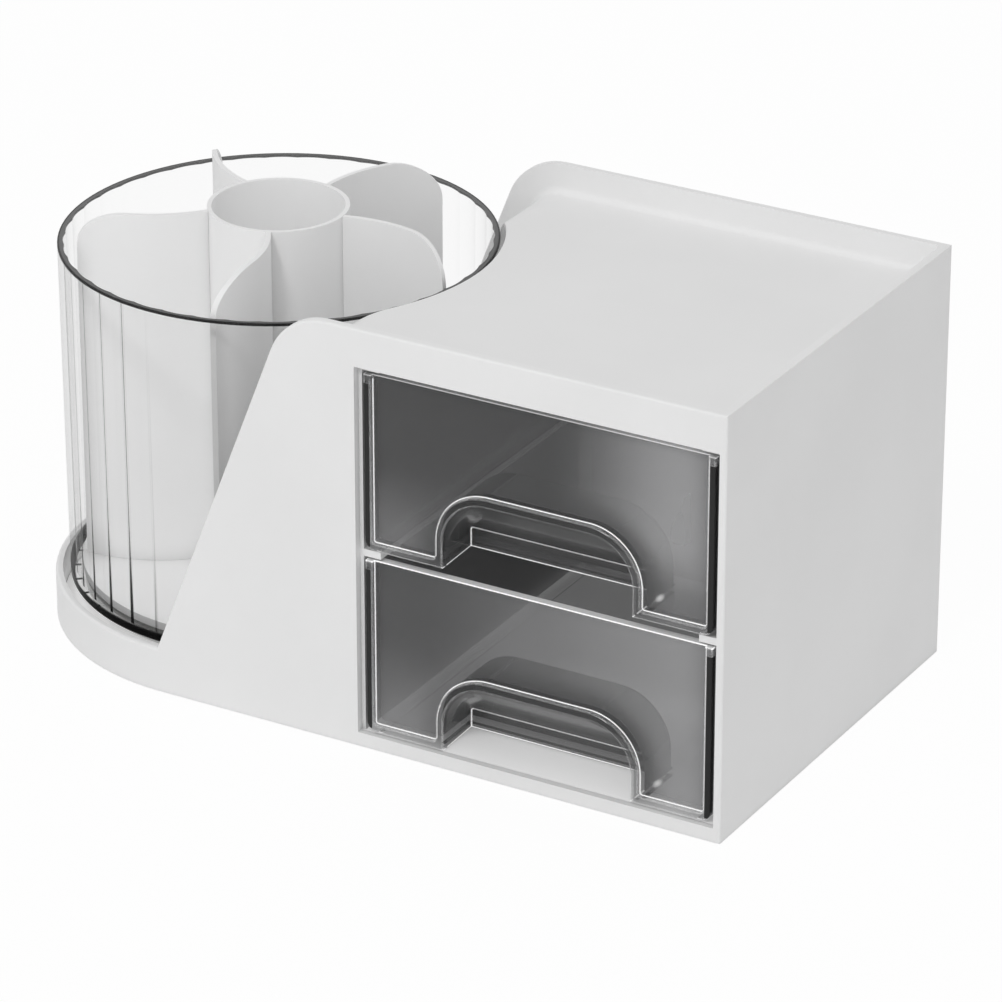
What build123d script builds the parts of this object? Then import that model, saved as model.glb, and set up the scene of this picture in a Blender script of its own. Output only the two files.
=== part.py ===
from build123d import *
import math
import os

# Rotating desk organizer: a white cabinet with two smoked drawers and a sunken top tray,
# and beside it a clear ribbed cup with a white pinwheel divider, which spins on a ball ring.
# Frame: +X runs from the cup to the cabinet, -Y is the front, +Z is up.
# Origin: centre of the footprint, on the surface that the feet stand on.

# ---------------------------------------------------------------- driving dimensions
# cup, which sets the size of the round end
cup_radius_top = 59.65
cup_draft = 0.6
cup_gap = 1.55
cup_top_drop = 10.15
cup_base_height = 12.0
cup_floor = 2.0
cup_wall = 1.45
cup_foot_round = 1.0
cup_rim_round = 0.3
flute_count = 40
flute_depth = 0.4

# housing
body_height = 120.0
foot_proud = 0.4
wall = 2.0
panel_thickness = 2.3
recess_wall = 1.85
edge_round = 0.7

# side panels: a slanted front edge with one large rounded corner
slant_angle = 21.5
slant_lead = 1.0
panel_corner_radius = 18.0

# tray round the cup
tray_rim_height = 12.9
rim_round = 0.9

# sunken top
lip_depth = 8.6
lip_foot_round = 2.0
top_thickness = 2.0

# drawer opening and the bay behind it
opening_width = 106.0
bay_inset = 1.05
bay_wall = 2.0

# bottom plate and its screws
floor_height = 4.0
plate_thickness = 2.4
plate_clearance = 0.2
boss_radius = 3.6
boss_overlap = 0.8
corner_boss_radius = 3.4
corner_boss_height = 14.0
wedge_boss_angle = 44.0
screw_radius = 1.25
screw_length = 9.0
screw_head_radius = 2.5
screw_head_height = 1.1
screw_hole_clearance = 0.25
thread_clearance = 0.02

# feet
foot_radius = 6.0
foot_seat_depth = 0.4
foot_seat_clearance = 0.1
foot_inset = 11.0

# drawers
drawer_setback = 1.55
drawer_headroom = 0.8
drawer_side_clearance = 0.8
drawer_rear_room = 7.1
drawer_lift = 0.3
drawer_wall = 2.2
drawer_floor = 2.2
drawer_back = 2.2
front_thickness = 2.4
rim_proud = 1.1
front_rim_width = 2.2
side_drop = 3.2
drawer_corner_radius = 3.0
drawer_inner_radius = 1.5
drawer_kept_in = 20.45
front_edge_round = 0.4
relief_corner_radius = 0.8

# runners
skid_clearance = 0.05
skid_width = 1.0
skid_inset = 3.1
ledge_thickness = 2.0
ledge_overlap = 4.3
rail_height = 1.4
lug_length = 6.0
lug_clearance = 0.4
stop_drop = 2.6
stop_length = 3.0
stop_gap = 0.3

# finger pull: an arch in the drawer front with a hollowed block behind it
pull_half_width = 27.9
pull_height = 20.5
pull_corner_radius = 13.0
pull_rim = 2.3
pull_depth = 15.6
pull_back_half_width = 28.4
pull_back_height = 5.6
pull_back_radius = 0.8
pull_back_wall = 2.2

# divider: a core with a base and an open tube, and the vanes on it
divider_top_drop = 1.15
divider_base_setback = 3.45
divider_base_thickness = 2.2
divider_seat_gap = 0.05
vane_joint_gap = 0.05
tube_radius = 19.25
tube_wall = 1.2
vane_count = 5
vane_thickness = 1.3
vane_first_angle = 5.6
vane_lead_angle = 12.0
vane_bend_radius = 39.3
vane_setback = 4.65
vane_shoulder_run = 13.9
vane_shoulder_drop = 11.3

# turntable
pivot_radius = 4.5
pivot_running_gap = 0.05
disc_setback = 4.05
disc_thickness = 2.8
disc_collar_wall = 3.0
disc_collar_drop = 2.6
hub_recess_radius = 8.0
hub_recess_depth = 1.3
race_inner_radius = 30.0
race_outer_radius = 43.0
race_thickness = 3.0
ball_radius = 2.0
ball_circle_radius = 37.0
ball_count = 18
ball_race_gap = 0.03
cage_half_width = 3.2
cage_thickness = 1.4
cage_hole_clearance = 0.1
washer_thickness = 0.6
washer_radius = 7.0
washer_float = 0.05
pivot_screw_radius = 1.5
pivot_head_radius = 3.0
pivot_head_height = 1.7
pivot_slot_width = 0.8
pivot_screw_length = 8.0
cup_screw_circle_radius = 24.0
cup_screw_count = 3
cup_screw_length = 4.0
race_screw_count = 3
race_screw_length = 4.4
race_screw_circle_radius = 32.6
screw_tip_room = 0.2

# ---------------------------------------------------------------- derived places
recess_radius = cup_radius_top + cup_gap
end_radius = recess_radius + wall
overall_depth = 2 * end_radius
overall_length = end_radius + recess_radius + recess_wall - bay_inset + opening_width + wall
front_y = -overall_depth / 2
back_y = overall_depth / 2
right_x = overall_length / 2
cup_x = -overall_length / 2 + end_radius

shell_bottom = foot_proud
shell_top = shell_bottom + body_height
rim_z = shell_bottom + tray_rim_height
floor_z = shell_bottom + floor_height
plate_bottom = floor_z - plate_thickness
tray_floor_z = shell_top - lip_depth
ceiling_z = tray_floor_z - top_thickness

slant = math.tan(math.radians(slant_angle))
slant_secant = 1 / math.cos(math.radians(slant_angle))
slant_x = cup_x - slant_lead

bay_left = cup_x + recess_radius + recess_wall
opening_left = bay_left - bay_inset
opening_right = opening_left + opening_width
bay_right = opening_right - bay_inset
bay_front = front_y + panel_thickness
bay_back = back_y - panel_thickness

drawer_left = bay_left + drawer_side_clearance
drawer_right = bay_right - drawer_side_clearance
drawer_width = drawer_right - drawer_left
drawer_x = (drawer_left + drawer_right) / 2
drawer_face_y = front_y + drawer_setback
panel_y = drawer_face_y + rim_proud
panel_back_y = panel_y + front_thickness
drawer_back_y = bay_back - drawer_rear_room
drawer_travel = drawer_back_y - drawer_face_y - drawer_kept_in
drawer_storey = (ceiling_z - floor_z - ledge_thickness - rail_height) / 2
drawer_height = drawer_storey - drawer_lift - drawer_headroom
drawer_pitch = drawer_storey + ledge_thickness
lower_drawer_z = floor_z + drawer_lift
upper_drawer_z = lower_drawer_z + drawer_pitch
skid_height = drawer_lift - skid_clearance
ledge_top = upper_drawer_z - drawer_lift
ledge_width = drawer_side_clearance + ledge_overlap
rail_bottom = ledge_top - ledge_thickness + drawer_pitch
lug_front_y = drawer_back_y - lug_length

cup_z = shell_bottom + cup_base_height
cup_top = shell_top - cup_top_drop
cup_radius_bottom = cup_radius_top - cup_draft
cup_floor_z = cup_z + cup_floor
divider_z = cup_floor_z + divider_seat_gap
divider_floor_z = divider_z + divider_base_thickness
divider_top = shell_top - divider_top_drop
divider_base_radius = cup_radius_bottom - divider_base_setback
vane_reach = cup_radius_bottom - vane_setback
vane_shoulder_radius = vane_reach - vane_shoulder_run
disc_radius = cup_radius_bottom - disc_setback
disc_z = cup_z - disc_thickness
race_top = floor_z + race_thickness
ball_z = (race_top + disc_z) / 2
pivot_top = cup_z - hub_recess_depth + washer_float
washer_top = pivot_top + washer_thickness
far = overall_length

CCC = (Align.CENTER, Align.CENTER, Align.CENTER)
CCB = (Align.CENTER, Align.CENTER, Align.MIN)


# ---------------------------------------------------------------- helpers
def block(x_range, y_range, z_range):
    """Box between two corners."""
    size = [high - low for low, high in (x_range, y_range, z_range)]
    middle = [(high + low) / 2 for low, high in (x_range, y_range, z_range)]
    return Pos(*middle) * Box(*size, align=CCC)


def post(x, y, z_low, z_high, radius):
    """Upright cylinder between two heights."""
    return Pos(x, y, z_low) * Cylinder(radius, z_high - z_low, align=CCB)


def ring(x, y, z_low, z_high, inner, outer):
    """Upright tube between two heights."""
    return post(x, y, z_low, z_high, outer) - post(x, y, z_low - wall, z_high + wall, inner)


def around(count, radius, start=0.0):
    """Plan points on a circle about the cup axis."""
    turns = [math.radians(start + step * 360 / count) for step in range(count)]
    return [(cup_x + radius * math.cos(turn), radius * math.sin(turn)) for turn in turns]


def facing_front(y):
    """Plane at a depth that faces the front, with X to the right and Z up."""
    return Plane(origin=(0, y, 0), x_dir=(1, 0, 0), z_dir=(0, -1, 0))


def xz_prism(face, y_low, y_high):
    """Prism of a face drawn in X and Z, between two depths."""
    return extrude(facing_front(y_high) * face, y_high - y_low)


def polygon(*points):
    """Face inside a closed line of straight edges."""
    return make_face(Polyline(*points, close=True))


# ---------------------------------------------------------------- housing
def side_profile(inset, right, bottom):
    """Face under the slanted and rounded panel outline, drawn in by an inset."""
    top = shell_top - inset
    edge_x = slant_x + inset * slant_secant
    corner = (edge_x + (top - rim_z) * slant, top)
    foot = (edge_x + (bottom - rim_z) * slant, bottom)
    face = polygon(foot, corner, (right, top), (right, bottom))
    sharp = face.vertices().sort_by_distance((*corner, 0))[0]
    return fillet(sharp, panel_corner_radius - inset)


def footprint(inset):
    """Plan of the whole body: a straight right end and a round left end."""
    radius = end_radius - inset
    body = Rectangle(right_x - inset - cup_x, 2 * radius, align=(Align.MIN, Align.CENTER))
    return Pos(cup_x, 0) * (body + Circle(radius))


def panel_body():
    """Outer form of the cabinet, with its long edges rounded."""
    plan = extrude(Pos(0, 0, shell_bottom) * footprint(0), body_height)
    body = xz_prism(side_profile(0, right_x, shell_bottom), front_y, back_y) & plan
    flat = body.faces().filter_by(Axis.Y)
    edges = flat.edges().filter_by(lambda edge: edge.center().Z > rim_z + edge_round)
    return fillet(edges, edge_round)


def tray_body():
    """Low round body under the cup, with a rounded rim."""
    tray = post(cup_x, 0, shell_bottom, rim_z, end_radius)
    return fillet(tray.edges().sort_by(Axis.Z)[-1], rim_round)


def sunken_top():
    """Space above the sunken floor, between the lips."""
    half = overall_depth / 2 - panel_thickness
    right = right_x - panel_thickness
    space = block((cup_x - end_radius, right), (-half, half), (rim_z, shell_top + wall))
    space -= xz_prism(side_profile(lip_depth, right + far, shell_bottom), -far, far)
    space = fillet(space.edges().filter_by(Axis.Z).sort_by(Axis.X)[-2:], lip_foot_round)
    low = space.edges().filter_by(lambda edge: rim_z < edge.center().Z < tray_floor_z + lip_foot_round / 2)
    foot = low.filter_by(lambda edge: abs(edge.center().Y) > half / 2 or edge.center().X > right - lip_foot_round)
    return fillet(foot, lip_foot_round)


def bottom_screw_points():
    """Plan points of the screws that hold the bottom plate."""
    reach = recess_radius + wall + boss_radius - boss_overlap
    turn = math.radians(wedge_boss_angle)
    wedge = (cup_x + reach * math.cos(turn), reach * math.sin(turn))
    corner_y = bay_back - corner_boss_radius
    return [
        wedge,
        (wedge[0], -wedge[1]),
        (bay_left + corner_boss_radius, corner_y),
        (bay_right - corner_boss_radius, corner_y),
    ]


def side_rails(low, high):
    """Pair of rails along the bay walls, between two heights."""
    rails = block((bay_left, bay_left + ledge_width), (bay_front, bay_back), (low, high))
    return rails + block((bay_right - ledge_width, bay_right), (bay_front, bay_back), (low, high))


def stop_ribs(top):
    """Pair of ribs that the drawer's lugs meet when it is pulled out."""
    rear = lug_front_y - drawer_travel - stop_gap
    span = (rear - stop_length, rear)
    heights = (top - stop_drop, top)
    width = drawer_side_clearance + drawer_wall
    ribs = block((bay_left, bay_left + width), span, heights)
    return ribs + block((bay_right - width, bay_right), span, heights)


def corner_bosses():
    """Screw bosses that fill the two back corners of the bay."""
    (left, y), (right, y) = bottom_screw_points()[2:]
    heights = (floor_z, floor_z + corner_boss_height)
    bosses = block((bay_left, left), (y, bay_back), heights) + block((right, bay_right), (y, bay_back), heights)
    for x in (left, right):
        bosses += post(x, y, *heights, corner_boss_radius)
    return bosses


def bay():
    """Drawer space behind the front panel, less the rails and corner bosses."""
    space = block((bay_left, bay_right), (bay_front, bay_back), (floor_z, ceiling_z))
    space -= side_rails(ledge_top - ledge_thickness, ledge_top)
    space -= stop_ribs(ledge_top - ledge_thickness)
    space -= side_rails(rail_bottom, ceiling_z)
    space -= stop_ribs(rail_bottom)
    return space - corner_bosses()


def wedge_hollow():
    """Two hollows between the cup recess and the bay, under the slanted floor."""
    under = lip_depth + top_thickness
    half = overall_depth / 2 - panel_thickness
    hollow = xz_prism(side_profile(under, bay_left - bay_wall, floor_z), -half, half)
    hollow -= post(cup_x, 0, floor_z - wall, shell_top, recess_radius + wall)
    for x, y in bottom_screw_points()[:2]:
        hollow -= post(x, y, floor_z, shell_top, boss_radius)
    return hollow


def housing():
    """White body: panels, sunken top, tray wall, drawer bay and its rails."""
    body = panel_body() + tray_body()
    body -= sunken_top()
    body -= post(cup_x, 0, floor_z, shell_top + wall, recess_radius)
    body -= bay()
    body -= block((opening_left, opening_right), (front_y - wall, bay_front), (floor_z, ceiling_z))
    body -= wedge_hollow()
    body -= Pos(0, 0, shell_bottom - wall) * extrude(footprint(wall), floor_height + wall)
    for x, y in bottom_screw_points():
        top = plate_bottom + screw_length + screw_tip_room
        body -= post(x, y, floor_z - wall, top, screw_radius + thread_clearance)
    return body


# ---------------------------------------------------------------- bottom plate, feet, screws
def foot_points():
    """Plan points of the rubber feet, by name."""
    far_x = right_x - wall - foot_inset
    near_x = cup_x + foot_inset
    side_y = overall_depth / 2 - wall - foot_inset
    return {
        "foot_right_front": (far_x, -side_y),
        "foot_right_back": (far_x, side_y),
        "foot_middle_front": (near_x, -side_y),
        "foot_middle_back": (near_x, side_y),
        "foot_left": (cup_x - end_radius + wall + foot_inset, 0),
    }


def bottom_plate():
    """Floor of the bay and of the tray, with the fixed pivot of the turntable."""
    plate = Pos(0, 0, plate_bottom) * extrude(footprint(wall + plate_clearance), plate_thickness)
    plate += post(cup_x, 0, floor_z, pivot_top, pivot_radius)
    plate -= post(cup_x, 0, pivot_top - pivot_screw_length, pivot_top + wall,
                  pivot_screw_radius + thread_clearance)
    for x, y in bottom_screw_points() + around(race_screw_count, race_screw_circle_radius):
        plate -= post(x, y, plate_bottom - wall, plate_bottom + screw_head_height + thread_clearance,
                      screw_head_radius + screw_hole_clearance)
        plate -= post(x, y, plate_bottom, floor_z + wall, screw_radius + screw_hole_clearance)
    for x, y in foot_points().values():
        plate -= post(x, y, plate_bottom - wall, plate_bottom + foot_seat_depth,
                      foot_radius + foot_seat_clearance)
    return plate


def foot(x, y):
    """Round rubber foot, seated in the underside of the plate."""
    pad = post(x, y, 0, plate_bottom + foot_seat_depth, foot_radius)
    return fillet(pad.edges().sort_by(Axis.Z)[0], foot_proud)


def screw_up(x, y, length):
    """Screw driven upwards from the underside of the bottom plate."""
    head = post(x, y, plate_bottom, plate_bottom + screw_head_height, screw_head_radius)
    return head + post(x, y, plate_bottom, plate_bottom + length, screw_radius)


def plate_screws():
    """The four screws of the bottom plate, as separate solids."""
    return Compound([screw_up(x, y, screw_length) for x, y in bottom_screw_points()])


# ---------------------------------------------------------------- turntable
def ball_groove(gap):
    """Ring-shaped space that the balls run in."""
    section = Pos(ball_circle_radius, 0) * Circle(ball_radius + gap)
    return Pos(cup_x, 0, ball_z) * revolve(Plane.XZ * section, Axis.Z)


def lower_race():
    """Fixed ring with the lower ball groove."""
    race = ring(cup_x, 0, floor_z, race_top, race_inner_radius, race_outer_radius)
    race -= ball_groove(ball_race_gap)
    hole_top = plate_bottom + race_screw_length + screw_tip_room
    for x, y in around(race_screw_count, race_screw_circle_radius):
        race -= post(x, y, floor_z - wall, hole_top, screw_radius + thread_clearance)
    return race


def race_screws():
    """The screws that hold the lower race to the plate."""
    points = around(race_screw_count, race_screw_circle_radius)
    return Compound([screw_up(x, y, race_screw_length) for x, y in points])


def bearing_balls():
    """The steel balls, as separate solids."""
    points = around(ball_count, ball_circle_radius, start=180 / ball_count)
    return Compound([Pos(x, y, ball_z) * Sphere(ball_radius) for x, y in points])


def ball_cage():
    """Flat ring that keeps the balls apart."""
    low = ball_z - cage_thickness / 2
    high = ball_z + cage_thickness / 2
    inner = ball_circle_radius - cage_half_width
    cage = ring(cup_x, 0, low, high, inner, inner + 2 * cage_half_width)
    for x, y in around(ball_count, ball_circle_radius, start=180 / ball_count):
        cage -= post(x, y, low - wall, high + wall, ball_radius + cage_hole_clearance)
    return cage


def turntable_disc():
    """Turning disc with the upper ball groove and a collar on the pivot."""
    bore = pivot_radius + pivot_running_gap
    disc = post(cup_x, 0, disc_z, cup_z, disc_radius)
    disc += post(cup_x, 0, disc_z - disc_collar_drop, disc_z, bore + disc_collar_wall)
    disc -= post(cup_x, 0, cup_z - hub_recess_depth, cup_z + wall, hub_recess_radius)
    disc -= post(cup_x, 0, floor_z, cup_z, bore)
    disc -= ball_groove(ball_race_gap)
    for x, y in around(cup_screw_count, cup_screw_circle_radius):
        disc -= post(x, y, disc_z - wall, cup_z + wall, screw_radius + thread_clearance)
    return disc


def pivot_washer():
    """Washer that holds the disc down on the pivot."""
    return ring(cup_x, 0, pivot_top, washer_top, pivot_screw_radius + thread_clearance, washer_radius)


def pivot_screw():
    """Screw in the middle of the pivot, with its head on the washer."""
    head = post(cup_x, 0, washer_top, washer_top + pivot_head_height, pivot_head_radius)
    head -= block((cup_x - pivot_head_radius, cup_x + pivot_head_radius),
                  (-pivot_slot_width / 2, pivot_slot_width / 2),
                  (washer_top + pivot_head_height / 2, washer_top + pivot_head_height))
    tip = pivot_top - pivot_screw_length + screw_tip_room
    return head + post(cup_x, 0, tip, washer_top, pivot_screw_radius)


# ---------------------------------------------------------------- cup
def fluted_loop(radius):
    """Closed line of shallow hollow flutes, with its ridges on a circle."""
    half = math.pi / flute_count
    valley = radius + flute_depth
    ridges = [(radius * math.cos(2 * half * step), radius * math.sin(2 * half * step))
              for step in range(flute_count)]
    arcs = []
    for step in range(flute_count):
        turn = (2 * step + 1) * half
        middle = (valley * math.cos(turn), valley * math.sin(turn))
        arcs.append(ThreePointArc(ridges[step], middle, ridges[(step + 1) % flute_count]))
    return make_face(arcs)


def cup():
    """Clear cup, smooth outside and fluted inside."""
    outer = Solid.make_cone(cup_radius_bottom, cup_radius_top, cup_top - cup_z)
    outer = fillet(outer.edges().sort_by(Axis.Z)[0], cup_foot_round)
    outer = fillet(outer.edges().sort_by(Axis.Z)[-1], cup_rim_round)
    low = Pos(0, 0, cup_floor) * fluted_loop(cup_radius_bottom - cup_wall - flute_depth)
    high = Pos(0, 0, cup_top - cup_z) * fluted_loop(cup_radius_top - cup_wall - flute_depth)
    body = Pos(cup_x, 0, cup_z) * (outer - loft([low, high], ruled=True))
    body -= post(cup_x, 0, cup_z - wall, cup_floor_z + wall, hub_recess_radius)
    for x, y in around(cup_screw_count, cup_screw_circle_radius):
        body -= post(x, y, cup_z - wall, cup_floor_z + wall, screw_radius + screw_hole_clearance)
        body -= post(x, y, cup_floor_z - screw_head_height, cup_floor_z + wall,
                     screw_head_radius + screw_hole_clearance)
    return body


def cup_screws():
    """Screws from inside the cup into the turntable disc, under the divider."""
    screws = []
    for x, y in around(cup_screw_count, cup_screw_circle_radius):
        head = post(x, y, cup_floor_z - screw_head_height, cup_floor_z, screw_head_radius)
        screws.append(head + post(x, y, cup_floor_z - cup_screw_length, cup_floor_z, screw_radius))
    return Compound(screws)


# ---------------------------------------------------------------- divider
def vane_plan():
    """Plan of the vane at angle zero: an arc from the tube towards the cup."""
    lead = math.radians(vane_lead_angle)
    start = tube_radius - tube_wall / 2
    centre = (start + vane_bend_radius * math.sin(lead), -vane_bend_radius * math.cos(lead))
    outer = vane_bend_radius + vane_thickness / 2
    inner = vane_bend_radius - vane_thickness / 2
    band = Pos(*centre) * (Circle(outer) - Circle(inner))
    window = Pos(0, centre[1]) * Rectangle(far, far, align=(Align.MIN, Align.MIN))
    window &= Circle(vane_reach)
    return band & (window - Circle(tube_radius + vane_joint_gap))


def vane_envelope():
    """Turned form that gives every vane its rounded upper corner."""
    drop_z = divider_top - vane_shoulder_drop
    corner = EllipticalCenterArc((vane_shoulder_radius, drop_z), vane_shoulder_run, vane_shoulder_drop)
    outline = Polyline((vane_shoulder_radius, divider_top), (0, divider_top), (0, 0), (vane_reach, 0),
                       (vane_reach, drop_z))
    return revolve(Plane.XZ * make_face([*outline.edges(), corner]), Axis.Z)


def vane(step):
    """One curved vane of the pinwheel, which stands on the base against the tube."""
    foot_z = divider_floor_z + vane_joint_gap
    body = extrude(Pos(0, 0, foot_z) * vane_plan(), divider_top - foot_z) & vane_envelope()
    return Pos(cup_x, 0, 0) * Rot(0, 0, vane_first_angle + step * 360 / vane_count) * body


def divider_core():
    """White base disc with the open middle tube."""
    core = post(cup_x, 0, divider_z, divider_floor_z, divider_base_radius)
    core += post(cup_x, 0, divider_floor_z, divider_top, tube_radius)
    return core - post(cup_x, 0, divider_floor_z, divider_top + wall, tube_radius - tube_wall)


# ---------------------------------------------------------------- drawers
def pull_arch(half_width, height, radius):
    """Arch that stands on the drawer's underside."""
    face = polygon((-half_width, 0), (-half_width, height), (half_width, height), (half_width, 0))
    return fillet(face.vertices().sort_by(Axis.Y)[-2:], radius)


def pull_arch_outer():
    """Outline of the raised rim round the finger pull."""
    return pull_arch(pull_half_width + pull_rim, pull_height + pull_rim, pull_corner_radius + pull_rim)


def pull_scoop():
    """Finger space: a tall arch at the front that runs down to a low slot at the back."""
    arch = facing_front(drawer_face_y) * pull_arch(pull_half_width, pull_height, pull_corner_radius)
    slot = pull_arch(pull_back_half_width, pull_back_height, pull_back_radius)
    return loft([facing_front(drawer_face_y + pull_depth) * slot, arch], ruled=True)


def drawer_section(inset, bottom, top, radius):
    """Drawer's cross section: upright sides and rounded lower corners."""
    half = drawer_width / 2 - inset
    face = polygon((-half, bottom), (-half, top), (half, top), (half, bottom))
    return fillet(face.vertices().sort_by(Axis.Y)[:2], radius)


def drawer_box():
    """Open box with its sides and back lower than its front."""
    box = xz_prism(drawer_section(0, 0, drawer_height, drawer_corner_radius), drawer_face_y, drawer_back_y)
    hollow = drawer_section(drawer_wall, drawer_floor, far, drawer_inner_radius)
    box -= xz_prism(hollow, panel_back_y, drawer_back_y - drawer_back)
    return box - block((-far, far), (panel_back_y, far), (drawer_height - side_drop, far))


def front_relief():
    """Shallow recess in the drawer's face, inside the rim and round the pull."""
    half = drawer_width / 2 - front_rim_width
    face = polygon((-half, front_rim_width), (-half, far), (half, far), (half, front_rim_width))
    face -= pull_arch_outer()
    corners = face.vertices().filter_by(lambda point: point.Y < front_rim_width + relief_corner_radius)
    return xz_prism(fillet(corners, relief_corner_radius), drawer_face_y - wall, panel_y)


def rear_lugs():
    """Lugs at the drawer's back corners: they keep it level and stop it at full travel."""
    half = drawer_width / 2
    top = drawer_pitch - drawer_lift - ledge_thickness - lug_clearance
    heights = (drawer_height - side_drop - wall, top)
    lugs = block((-half, -half + drawer_wall), (lug_front_y, drawer_back_y), heights)
    return lugs + block((half - drawer_wall, half), (lug_front_y, drawer_back_y), heights)


def skids():
    """Two low runners under the drawer."""
    outer = drawer_width / 2 - skid_inset
    span = (panel_y, drawer_back_y - drawer_back)
    heights = (-skid_height, drawer_floor / 2)
    return block((-outer, -outer + skid_width), span, heights) + block((outer - skid_width, outer), span, heights)


def drawer(base_z):
    """Smoked drawer with a rimmed front, an arched finger pull, runners and rear lugs."""
    pull_block = xz_prism(pull_arch_outer(), panel_y, drawer_face_y + pull_depth + pull_back_wall)
    body = drawer_box() - front_relief() + pull_block - pull_scoop()
    rims = body.edges().filter_by(lambda edge: edge.center().Y < drawer_face_y + front_edge_round)
    body = fillet(rims, front_edge_round) + rear_lugs() + skids()
    return Pos(drawer_x, 0, base_z) * body


# ---------------------------------------------------------------- output
def main():
    """Writes every piece as its own file."""
    nodes = {
        "housing": housing(),
        "bottom_plate": bottom_plate(),
        "plate_screws": plate_screws(),
        "lower_race": lower_race(),
        "race_screws": race_screws(),
        "bearing_balls": bearing_balls(),
        "ball_cage": ball_cage(),
        "turntable_disc": turntable_disc(),
        "pivot_washer": pivot_washer(),
        "pivot_screw": pivot_screw(),
        "cup": cup(),
        "cup_screws": cup_screws(),
        "divider_core": divider_core(),
        "upper_drawer": drawer(upper_drawer_z),
        "lower_drawer": drawer(lower_drawer_z),
    }
    for step in range(vane_count):
        nodes[f"divider_vane_{step + 1}"] = vane(step)
    for name, (x, y) in foot_points().items():
        nodes[name] = foot(x, y)
    os.makedirs("parts", exist_ok=True)
    for name, shape in nodes.items():
        export_step(shape, f"parts/{name}.step")


main()
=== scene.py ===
"""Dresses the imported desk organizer: moulded plastics, bearing, studio and camera.

All sizes are in metres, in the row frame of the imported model: +X runs from the cup to the
cabinet, -Y is the front, +Z is up. A span is a pair of values between which a mask goes
from 0 to 1.
"""

import logging
import math
from dataclasses import dataclass, field
from enum import Enum
from typing import Any, Mapping, Optional, Union

import bpy
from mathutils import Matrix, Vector


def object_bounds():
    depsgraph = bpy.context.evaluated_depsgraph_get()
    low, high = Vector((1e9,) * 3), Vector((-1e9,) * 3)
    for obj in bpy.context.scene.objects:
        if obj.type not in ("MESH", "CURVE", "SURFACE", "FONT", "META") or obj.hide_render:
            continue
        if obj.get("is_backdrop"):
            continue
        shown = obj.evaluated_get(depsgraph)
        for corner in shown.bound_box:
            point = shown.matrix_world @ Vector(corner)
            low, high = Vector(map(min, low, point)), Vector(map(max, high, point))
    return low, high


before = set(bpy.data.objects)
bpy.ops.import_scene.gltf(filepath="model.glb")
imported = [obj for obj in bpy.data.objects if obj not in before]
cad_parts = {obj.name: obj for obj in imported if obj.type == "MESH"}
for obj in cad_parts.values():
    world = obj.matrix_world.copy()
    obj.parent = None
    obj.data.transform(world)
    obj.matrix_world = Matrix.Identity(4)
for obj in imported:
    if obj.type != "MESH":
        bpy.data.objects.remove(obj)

LOG = logging.getLogger("organizer")
MM = 0.001

Number = Union[int, float]
Colour = tuple[float, float, float]
Span = tuple[float, float]

BLACK: Colour = (0.0, 0.0, 0.0)
FULL_WHITE: Colour = (1.0, 1.0, 1.0)
NOISE_MEAN = 0.5
EDGE_SAMPLES = 6
FACING_BLEND = 0.5
SCHLICK_POWER = 5.0
SCHLICK_BASE = 0.04
SCHLICK_RISE = 0.96
GAP_SPAN: Span = (0.35, 0.8)


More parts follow.
